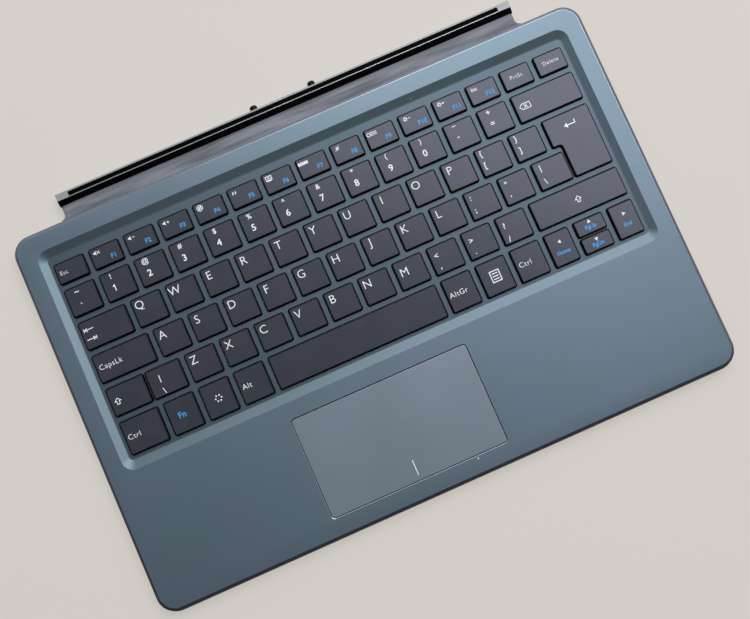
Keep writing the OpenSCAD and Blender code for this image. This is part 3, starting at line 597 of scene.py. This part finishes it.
def glyphs(text, height, weight=0.0, spacing=1.0):
    """The outlines of a printed word as a thin mesh, with its middle at the origin."""
    curve = bpy.data.curves.new("word", "FONT")
    curve.body = text
    # A capital of the built-in typeface is 0.73 of its size.
    curve.size = height / 0.73
    curve.offset = weight
    curve.space_character = spacing
    curve.extrude = print_t / 2
    curve.resolution_u = 3
    word = bpy.data.objects.new("word", curve)
    bpy.context.scene.collection.objects.link(word)
    bpy.context.view_layer.update()
    mesh = bpy.data.meshes.new_from_object(word.evaluated_get(bpy.context.evaluated_depsgraph_get()))
    bpy.data.objects.remove(word)
    bpy.data.curves.remove(curve)
    xs = [vertex.co.x for vertex in mesh.vertices]
    ys = [vertex.co.y for vertex in mesh.vertices]
    mesh.transform(Matrix.Translation((-(min(xs) + max(xs)) / 2, -(min(ys) + max(ys)) / 2, 0)))
    return mesh


def strokes(*lines, width=0.4):
    """A printed sign drawn with straight strokes, each a list of points."""
    shape = bmesh.new()
    lift = 0.0
    for line in lines:
        for a, b in zip(line, line[1:]):
            a, b = Vector(a), Vector(b)
            along = (b - a).normalized() * width / 2
            side = Vector((-along.y, along.x))
            bar = [a - along - side, b + along - side, b + along + side, a - along + side]
            foot = [shape.verts.new((p.x, p.y, -print_t / 2)) for p in bar]
            top = [shape.verts.new((p.x, p.y, print_t / 2 + lift)) for p in bar]
            wall(shape, foot, top)
            shape.faces.new(foot)
            shape.faces.new(top)
            # Strokes that cross lie a hair apart in height.
            lift += 0.0005
    return as_mesh(shape)


def blots(*areas):
    """A printed sign of filled areas, each a list of corners."""
    shape = bmesh.new()
    for area in areas:
        foot = [shape.verts.new((x, y, -print_t / 2)) for x, y in area]
        top = [shape.verts.new((x, y, print_t / 2)) for x, y in area]
        wall(shape, foot, top)
        fill(shape, foot)
        fill(shape, top)
    return as_mesh(shape)


def as_mesh(shape):
    mesh = bpy.data.meshes.new("sign")
    shape.to_mesh(mesh)
    shape.free()
    return mesh


def circle(x, y, r, points=14):
    turns = [2 * math.pi * k / points for k in range(points + 1)]
    return [(x + r * math.cos(turn), y + r * math.sin(turn)) for turn in turns]


def joined(*meshes):
    shape = bmesh.new()
    for mesh in meshes:
        shape.from_mesh(mesh)
    return as_mesh(shape)


def speaker():
    return blots([(-1.3, -0.4), (-0.7, -0.4), (0.1, -1.1), (0.1, 1.1), (-0.7, 0.4), (-1.3, 0.4)])


def sun():
    rays = [[(0.75 * math.cos(t), 0.75 * math.sin(t)), (1.15 * math.cos(t), 1.15 * math.sin(t))]
            for t in [math.pi / 4 * k for k in range(8)]]
    return joined(strokes(circle(0, 0, 0.55), width=0.28), strokes(*rays, width=0.25))


def box_line(w, h):
    return [(-w / 2, -h / 2), (w / 2, -h / 2), (w / 2, h / 2), (-w / 2, h / 2), (-w / 2, -h / 2)]


def bar(x, w, h):
    return [(x - w / 2, -h / 2), (x + w / 2, -h / 2), (x + w / 2, h / 2), (x - w / 2, h / 2)]


def shift_arrow():
    return strokes([(-1.5, 0.1), (0, 1.6), (1.5, 0.1), (0.65, 0.1), (0.65, -1.4), (-0.65, -1.4),
                    (-0.65, 0.1), (-1.5, 0.1)], width=0.36)


def triangle(turn):
    turns = [turn + 2 * math.pi * k / 3 for k in range(3)]
    return blots([(1.1 * math.cos(t), 1.1 * math.sin(t)) for t in turns])


def icon_volume(sign):
    bars = [[(0.9, 0), (1.9, 0)]]
    if sign == "+":
        bars.append([(1.4, -0.5), (1.4, 0.5)])
    return joined(speaker(), strokes(*bars, width=0.3))


def icon_light(sign):
    bars = [[(1.6, 0), (2.5, 0)]]
    if sign == "+":
        bars.append([(2.05, -0.45), (2.05, 0.45)])
    return joined(sun(), strokes(*bars, width=0.3))


icons = {
    "f1": lambda: joined(speaker(),
                         strokes([(0.6, -0.6), (1.8, 0.6)], [(0.6, 0.6), (1.8, -0.6)], width=0.3)),
    "f2": lambda: icon_volume("-"),
    "f3": lambda: icon_volume("+"),
    "f4": lambda: strokes(circle(0, 0, 1.4), box_line(1.1, 1.0), [(-0.95, -0.95), (0.95, 0.95)],
                          width=0.34),
    "f5": lambda: strokes([(-0.8, -0.5), (-0.5, 0.5)], [(0.5, -0.5), (0.8, 0.5)], width=0.5),
    "f6": lambda: strokes(box_line(2.9, 2.0), [(-0.8, -1.35), (0.8, -1.35)],
                          [(-0.6, -0.3), (0, 0.4), (0.6, -0.3)], width=0.42),
    "f7": lambda: blots(*[bar(x, 0.85, 1.6) for x in (-2.1, -1.05, 0, 1.05, 2.1)]),
    "f8": lambda: joined(blots([(-0.9, -0.8), (0.5, -0.8), (1.0, 0.8), (-0.4, 0.8)]),
                         strokes([(-1.2, -1.1), (1.2, 1.2)], width=0.22)),
    "f9": lambda: joined(strokes(circle(-1.5, 0, 0.8), width=0.34),
                         strokes(*[[(-0.4, y), (1.0, y)] for y in (0.75, 0, -0.75)],
                                 *[[(x, -0.8), (x, 0.8)] for x in (1.7, 2.5)], width=0.34)),
    "f10": lambda: icon_light("-"),
    "f11": lambda: icon_light("+"),
}


def legends_of(name, width):
    """Each legend of a cap: its mesh, its middle from the cap's left and back edges, and its ink."""
    if len(name) == 1 and name.isalpha():
        # The M is printed lower than the other letters.
        if name == "m":
            return [(glyphs("M", 4.3, -0.04), 4.6, 6.2, WHITE)]
        letter = (glyphs(name.upper(), 4.3, -0.04), 4.0, 4.2, WHITE)
        # The two keys under the forefingers have a raised bar to find them by.
        if name in "fj":
            return [letter, (strokes([(-1.6, 0), (1.6, 0)], width=0.5), width / 2, 11.8, TOP)]
        return [letter]
    if name.isdigit():
        shifted = dict(zip("1234567890", "!@#$%^&*()"))[name]
        mark = glyphs(shifted, 2.6, 0.05)
        rise = 2.2 if shifted in "^*" else 2.8
        # The 1 is drawn without a foot.
        if name == "1":
            digit = strokes([(-0.6, 0.85), (0.15, 1.35), (0.15, -1.35)], width=0.5)
        else:
            digit = glyphs(name, 3.4, 0.08)
        return [(digit, 5.7, 8.7, WHITE), (mark, 5.6, rise, WHITE)]
    pairs = {"grave": ("~", "`", 6.2, 3.1, 9.2), "minus": ("_", "-", 5.6, 2.3, 8.2),
             "equals": ("+", "=", 5.6, 2.7, 8.5), "left_bracket": ("{", "[", 2.9, 3.2, 9.2),
             "right_bracket": ("}", "]", 3.3, 3.2, 9.2), "semicolon": (":", ";", 3.1, 3.8, 10.6),
             "quote": ('"', "'", 3.6, 3.4, 10.6), "backslash": ("|", "\\", 3.9, 4.0, 10.6),
             "backslash_left": ("|", "\\", 6.3, 6.0, 12.0), "comma": ("<", ",", 3.7, 5.2, 12.0),
             "period": (">", ".", 3.9, 5.2, 12.0), "slash": ("?", "/", 3.4, 5.2, 12.0)}
    if name in pairs:
        upper, lower, x, high, low = pairs[name]
        return [(glyphs(upper, 2.9, 0.06), x, high, WHITE), (glyphs(lower, 2.9, 0.06), x, low, WHITE)]
    words = {"esc": ("Esc", 4.2, 5.5, 2.1), "print": ("PrtSc", 7.6, 5.1, 2.1),
             "delete": ("Delete", 7.9, 5.1, 2.1), "caps_lock": ("CapsLk", 8.0, 7.4, 2.7),
             "left_ctrl": ("Ctrl", 5.1, 8.6, 2.7), "right_ctrl": ("Ctrl", 5.2, 8.6, 2.7),
             "alt": ("Alt", 4.4, 8.6, 2.7), "alt_gr": ("AltGr", 6.3, 8.6, 2.7)}
    if name in words:
        word, x, y, height = words[name]
        return [(glyphs(word, height, -0.02, 1.1), x, y, WHITE)]
    if name == "fn":
        return [(glyphs("Fn", 3.0, 0.1), 7.1, 8.6, BLUE)]
    if name == "f12":
        return [(glyphs("Ins", 2.0, 0.03), 4.0, 2.9, WHITE), (glyphs("F12", 2.3, 0.1), 10.9, 7.2, BLUE)]
    if name in icons:
        return [(icons[name](), 3.6, 3.0, WHITE), (glyphs(name.upper(), 2.3, 0.1), 11.1, 7.2, BLUE)]
    if name == "tab":
        to_left = strokes([(-2.3, -0.7), (-2.3, 0.7)], [(-1.9, 0), (2.3, 0)],
                          [(-0.9, 0.7), (-1.8, 0), (-0.9, -0.7)])
        to_right = strokes([(2.3, -0.7), (2.3, 0.7)], [(-2.3, 0), (1.9, 0)],
                           [(0.9, 0.7), (1.8, 0), (0.9, -0.7)])
        return [(to_left, 4.4, 4.9, WHITE), (to_right, 4.4, 9.7, WHITE)]
    if name == "left_shift":
        return [(shift_arrow(), 4.2, 7.8, WHITE)]
    if name == "right_shift":
        return [(shift_arrow(), width / 2, 7.6, WHITE)]
    if name == "backspace":
        arrow = strokes([(-2.9, 0), (-1.5, 1.4), (2.6, 1.4), (2.6, -1.4), (-1.5, -1.4), (-2.9, 0)],
                        [(-0.6, -0.7), (0.9, 0.7)], [(-0.6, 0.7), (0.9, -0.7)], width=0.36)
        return [(arrow, 5.6, 7.0, WHITE)]
    if name == "enter":
        arrow = strokes([(2.8, 1.5), (2.8, 0), (-1.0, 0)], width=0.5)
        head = blots([(-3.0, 0), (-1.2, 1.3), (-1.2, -1.3)])
        return [(joined(arrow, head), width / 2 + 0.2, 6.8, WHITE)]
    if name == "menu":
        sheet = strokes(box_line(4.6, 5.4), *[[(-1.2, y), (1.2, y)] for y in (-1.4, 0, 1.4)], width=0.5)
        return [(sheet, width / 2, 8.4, WHITE)]
    if name == "start":
        # A plain ring of dots stands where a maker's sign would be.
        turns = [math.pi / 3 * k for k in range(6)]
        dots = [circle(1.5 * math.cos(t), 1.5 * math.sin(t), 0.42, 10)[:-1] for t in turns]
        return [(blots(*dots), width / 2, 8.5, WHITE)]
    arrows = {"left": (math.pi, "Home", 5.6, 10.9), "right": (0, "End", 5.6, 10.9),
              "up": (math.pi / 2, "PgUp", 2.3, 5.1), "down": (-math.pi / 2, "PgDn", 2.5, 5.3)}
    if name in arrows:
        turn, word, high, low = arrows[name]
        return [(triangle(turn), width / 2, high, WHITE), (glyphs(word, 2.0, 0.09), width / 2, low, BLUE)]
    return []


def make_cap(name, corners, post_foot=None):
    """A hollow cap with its legends; a fixed one also has the post that carries it."""
    shape = bmesh.new()
    profile = [(0, cap_bottom_z), (cap_draft, cap_top_z - cap_edge)]
    edge_steps = 5
    for k in range(1, edge_steps + 1):
        turn = math.pi / 2 * k / edge_steps
        inset = cap_draft + cap_edge * (1 - math.cos(turn))
        profile.append((inset, cap_top_z - cap_edge * (1 - math.sin(turn))))
    profile.append((cap_draft + cap_edge + 0.04, cap_top_z))
    rings = [ring(shape, outline(corners, -inset, cap_corner_r, 5), z) for inset, z in profile]
    for low, high in zip(rings, rings[1:]):
        wall(shape, low, high, SIDE)
    fill(shape, rings[-1])
    inner = ring(shape, outline(corners, -cap_wall, cap_corner_r, 5), cap_bottom_z)
    ceiling = ring(shape, outline(corners, -cap_wall, cap_corner_r, 5), cap_ceiling_z)
    wall(shape, rings[0], inner)
    wall(shape, inner, ceiling)
    fill(shape, ceiling)
    left = min(point.x for point in corners)
    right = max(point.x for point in corners)
    front = min(point.y for point in corners)
    back = max(point.y for point in corners)
    if post_foot is not None:
        post = circle((left + right) / 2, (front + back) / 2, post_r, 20)[:-1]
        stack(shape, [(post, post_foot), (post, cap_ceiling_z)])
    for mesh, x, y, ink in legends_of(name, right - left):
        mesh.transform(Matrix.Translation((left + x, back - y, cap_top_z + print_t / 2)))
        mesh.transform(Matrix.Scale(mm, 4))
        first = len(shape.faces)
        shape.from_mesh(mesh)
        shape.faces.ensure_lookup_table()
        for face in shape.faces[first:]:
            face.material_index = ink
        bpy.data.meshes.remove(mesh)
    return new_piece(f"cap_{name}", shape, [keycap_abs, white_ink, blue_ink, cap_side_shade_abs], smooth=40)


plate_low, plate_high = corners_mm("key_base_plate")
for name, corners in caps.items():
    node = f"key_{name}"
    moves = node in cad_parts
    cap = make_cap(name, corners, None if moves else plate_low.z)
    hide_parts(node if moves else "key_base_plate")
    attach(cap, node if moves else "case")

# The steel plate under the keys
plate_t = 0.4
plate_corner_r = 3.0
plate_shape = bmesh.new()
plate_sides = rectangle(plate_low.x, plate_high.x, plate_low.y, plate_high.y)
plate_edge = outline(plate_sides, 0, plate_corner_r, 5)
stack(plate_shape, [(plate_edge, plate_low.z), (plate_edge, plate_low.z + plate_t)])
key_plate = new_piece("key_plate", plate_shape, [rolled_steel])
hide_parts("key_base_plate")
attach(key_plate, "case")


# Hinge strip
# A band of polyester cloth coated with polyurethane, glued into the case and into the rail. It is
# slightly creased, and flares where it leaves the case.

# Coated cloth: soft and matt, mauve-grey, with long streaks of painted shade and light for its creases.
coated_cloth = new_finish("polyurethane_coated_cloth", "#666A73", roughness=0.6, Sheen_Weight=0.1)
shades(coated_cloth, 2.6, "#4D525A", "#787C86", detail=4.0, stretch=(12, 1, 1))
grain(coated_cloth, 0.6, 0.02, detail=5.0)

strip_low, strip_high = corners_mm("hinge_strip")
rail_low, rail_high = corners_mm("dock_rail")
# It is painted a little darker where it goes down to the rail, as shade from the rail.
fade(coated_cloth, "Y", rail_low.y, rail_low.y - 2.6, "#DCDCE2")
strip_half_w = 120.5
flare_r = 2.4
# It starts this far inside the case.
tuck = 0.94
crease_to_case = strip_low.y + 0.25
crease_to_rail = rail_low.y - 0.5


def strip_edge(y):
    """Half the strip's width at a place: it widens in an arc towards the case."""
    away = y - strip_low.y
    if away >= flare_r:
        return strip_half_w
    return strip_half_w + flare_r - math.sqrt(flare_r ** 2 - (flare_r - max(away, 0)) ** 2)


def wrinkle(x, y):
    """The height of the creases in the cloth, none at its two glued edges."""
    across = (y - strip_low.y) / (strip_high.y - strip_low.y)
    held = max(0.0, min(1.0, 4 * across * (1 - across)))
    long_folds = noise.noise(Vector((x / 34, y / 2.6, 1.7)))
    short_folds = noise.noise(Vector((x / 9, y / 3.5, 5.1)))
    return held * (0.24 * long_folds + 0.06 * short_folds)


def make_strip(name, near, far, columns=260, rows=14):
    shape = bmesh.new()
    middle_z = (strip_low.z + strip_high.z) / 2
    half_t = (strip_high.z - strip_low.z) / 2
    sides = {}
    for side in (-1, 1):
        for j in range(rows + 1):
            y = near + (far - near) * j / rows
            for i in range(columns + 1):
                x = strip_edge(y) * (2 * i / columns - 1)
                edge = min(1.0, (strip_edge(y) - abs(x)) / half_t)
                thin = half_t * math.sqrt(max(0.0, 1 - (1 - edge) ** 2)) if edge < 1 else half_t
                z = middle_z + side * max(thin, 0.02) + wrinkle(x, y)
                sides[side, i, j] = shape.verts.new((x * mm, y * mm, z * mm))
    for j in range(rows):
        for i in range(columns):
            for side in (-1, 1):
                shape.faces.new([sides[side, i, j], sides[side, i + 1, j], sides[side, i + 1, j + 1],
                                 sides[side, i, j + 1]])
    for j in range(rows):
        for i in (0, columns):
            shape.faces.new([sides[-1, i, j], sides[-1, i, j + 1], sides[1, i, j + 1], sides[1, i, j]])
    for i in range(columns):
        for j in (0, rows):
            shape.faces.new([sides[-1, i, j], sides[-1, i + 1, j], sides[1, i + 1, j], sides[1, i, j]])
    return new_piece(name, shape, [coated_cloth], smooth=60)


strip_middle = (crease_to_case + crease_to_rail) / 2
near_strip = make_strip("strip_case_half", strip_low.y - tuck, strip_middle)
far_strip = make_strip("strip_rail_half", strip_middle, rail_low.y)
for half, first, second, crease in ((near_strip, "case", "strip", crease_to_case),
                                    (far_strip, "strip", "rail", crease_to_rail)):
    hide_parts("hinge_strip")
    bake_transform(half)


# Dock rail
# A folded aluminium cover over a moulded core with magnets. A polished black bar lies along its
# front, a rubber pad is let into its top, and two black posts stand out of its back.

# Satin aluminium: light grey with soft highlights.
satin_aluminium = new_finish("satin_aluminium", "#8F9499", metallic=0.35, roughness=0.5)
gloss(satin_aluminium, 2, 0.44, 0.56, stretch=(12, 1, 1))
dress("dock_rail", satin_aluminium)

# The groove's cut front edge, painted lighter as a highlight, shows as a thin line between the bar and
# the pad.
_, bar_high = corners_mm("dock_front_bar")
groove_low, groove_high = corners_mm("dock_top_pad")
cut_w = 0.15
cut_front = bar_high.y + 0.04
cut_sides = rectangle(groove_low.x, groove_high.x, cut_front, cut_front + cut_w)
cut_profile = [(0, rail_high.z - 0.2), (0, rail_high.z + 0.03), (0.05, rail_high.z + 0.06)]
cut_shape = bmesh.new()
stack(cut_shape, [(outline(cut_sides, -inset, 0.05, 2), z) for inset, z in cut_profile])
cut_edge = new_piece("rail_edge_painted_highlight", cut_shape, [highlight_cut])
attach(cut_edge, "rail")

# Polished polycarbonate: black and mirror-like.
polished_black = new_finish("polished_black_polycarbonate", "#010102", roughness=0.1,
                            Specular_IOR_Level=0.12)
gloss(polished_black, 6, 0.1, 0.16)
dress("dock_front_bar", polished_black)

# Moulded rubber: black and matt.
moulded_rubber = new_finish("moulded_black_rubber", "#020203", roughness=0.8, Specular_IOR_Level=0.05)
grain(moulded_rubber, 0.4, 0.015)

# The pad's foot fills its groove, and its soft upper edge overlaps the metal behind it.
pad_overlap = 0.85
foot_sides = rectangle(groove_low.x, groove_high.x, groove_low.y, groove_high.y)
lip_sides = rectangle(groove_low.x, groove_high.x, groove_low.y, groove_high.y + pad_overlap)
rubber_profile = [(foot_sides, 0, groove_low.z), (foot_sides, 0, rail_high.z),
                  (lip_sides, 0, rail_high.z), (lip_sides, 0.02, rail_high.z + 0.07),
                  (lip_sides, 0.08, groove_high.z)]
rubber_shape = bmesh.new()
stack(rubber_shape, [(outline(sides, -inset, 0.5, 4), z) for sides, inset, z in rubber_profile])
rubber_pad = new_piece("rail_rubber_pad", rubber_shape, [moulded_rubber])
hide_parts("dock_top_pad")
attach(rubber_pad, "rail")

# Glass-filled nylon: dark grey, fine grain.
glass_filled = new_finish("glass_filled_nylon", "#2A2C30", roughness=0.55)
shades(glass_filled, 1.5, "#26282C", "#303236")
dress("dock_core", glass_filled)

# Satin black paint on steel.
black_paint = new_finish("satin_black_paint", "#050506", roughness=0.45, Specular_IOR_Level=0.12)
gloss(black_paint, 1.5, 0.38, 0.5)
dress("dock_posts", black_paint)

# Dark nickel plate: grey, smooth metal.
dark_nickel = new_finish("dark_nickel_plate", "#7C7975", metallic=1.0, roughness=0.26)
gloss(dark_nickel, 0.8, 0.2, 0.32)
dress("contact_pins", dark_nickel)

# Nickel plate on the magnets: bright grey metal.
nickel_plate = new_finish("nickel_plate", "#B6B9BC", metallic=1.0, roughness=0.3)
gloss(nickel_plate, 3, 0.25, 0.36)
dress("dock_magnets", nickel_plate)


# Floor, light and camera
# A pale table, one large soft light from the back right as in a product picture, and a dim
# surrounding that leaves the front and left bevels dark.

floor_mesh = bpy.data.meshes.new("floor")
floor_mesh.from_pydata([(-3, -3, 0), (3, -3, 0), (3, 3, 0), (-3, 3, 0)], [], [(0, 1, 2, 3)])
floor = bpy.data.objects.new("floor", floor_mesh)
bpy.context.scene.collection.objects.link(floor)
# It lies a hair below the feet, so that the two don't share a plane.
floor.location.z = -0.02 * mm
table_colour = "#D5D0C9"
table = new_finish("matt_table", table_colour, roughness=0.9, Specular_IOR_Level=0.0)
tree = table.node_tree
matt = tree.nodes["Principled BSDF"]
# The camera sees it partly lit by itself, which keeps it even and its shadows pale.
plain = add_node(tree, "ShaderNodeEmission", {"Color": linear(table_colour), "Strength": 1.0})
rays = add_node(tree, "ShaderNodeLightPath")
share = add_node(tree, "ShaderNodeMath", {"operation": "MULTIPLY", 1: 0.72},
                 {0: rays.outputs["Is Camera Ray"]})
mixed = add_node(tree, "ShaderNodeMixShader", None,
                 {0: share.outputs[0], 1: matt.outputs["BSDF"], 2: plain.outputs["Emission"]})
tree.links.new(mixed.outputs[0], tree.nodes["Material Output"].inputs["Surface"])
floor_mesh.materials.append(table)

world = bpy.data.worlds.new("studio")
bpy.context.scene.world = world
world.use_nodes = True
sky = world.node_tree
background = sky.nodes["Background"]
direction = add_node(sky, "ShaderNodeTexCoord")
bright_side = add_node(sky, "ShaderNodeVectorMath", {"operation": "DOT_PRODUCT", 1: (0.27, 0.73, 0.63)},
                       {0: direction.outputs["Generated"]})
level = add_node(sky, "ShaderNodeMapRange",
                 {"From Min": -0.08, "From Max": 0.96, "To Min": 0.05, "To Max": 0.95},
                 {"Value": bright_side.outputs["Value"]})
height = add_node(sky, "ShaderNodeSeparateXYZ", None, {0: direction.outputs["Generated"]})
horizon = add_node(sky, "ShaderNodeMapRange",
                   {"From Min": 0.0, "From Max": 0.3, "To Min": 0.4, "To Max": 1.0},
                   {"Value": height.outputs["Z"]})
strength = add_node(sky, "ShaderNodeMath", {"operation": "MULTIPLY"},
                    {0: level.outputs["Result"], 1: horizon.outputs["Result"]})
sky.links.new(strength.outputs[0], background.inputs["Strength"])
background.inputs["Color"].default_value = linear("#FAFCFF")

softbox = bpy.data.lights.new("softbox", "AREA")
softbox.shape = "RECTANGLE"
softbox.size = 1.0
softbox.size_y = 0.8
softbox.energy = 8.7
softbox.color = (1.0, 0.99, 0.97)
lamp = bpy.data.objects.new("softbox", softbox)
bpy.context.scene.collection.objects.link(lamp)
lamp.location = (0.42, 0.46, 0.88)
lamp.rotation_euler = (Vector((0.05, 0.02, 0.0)) - lamp.location).to_track_quat("-Z", "Y").to_euler()

# The picture was taken from 0.47 m above the keyboard, turned 24 degrees clockwise round its sight line.
lens = bpy.data.cameras.new("camera")
lens.sensor_fit = "HORIZONTAL"
lens.angle = math.radians(41.74)
lens.clip_start = 0.01
lens.clip_end = 20
camera = bpy.data.objects.new("camera", lens)
bpy.context.scene.collection.objects.link(camera)
camera_place = Vector((-16.74, -44.01, 479.2)) * mm
camera_aim = Vector((-0.85, -11.34, 6.6)) * mm
camera_roll = math.radians(-23.85)
sight = (camera_aim - camera_place).normalized()
right = sight.cross(Vector((0, 1, 0))).normalized()
up = right.cross(sight)
turned_right = math.cos(camera_roll) * right + math.sin(camera_roll) * up
turned_up = math.cos(camera_roll) * up - math.sin(camera_roll) * right
turning = Matrix((turned_right, turned_up, -sight)).transposed().to_4x4()
camera.matrix_world = Matrix.Translation(camera_place) @ turning
bpy.context.scene.camera = camera
bpy.context.scene.view_settings.view_transform = "Standard"
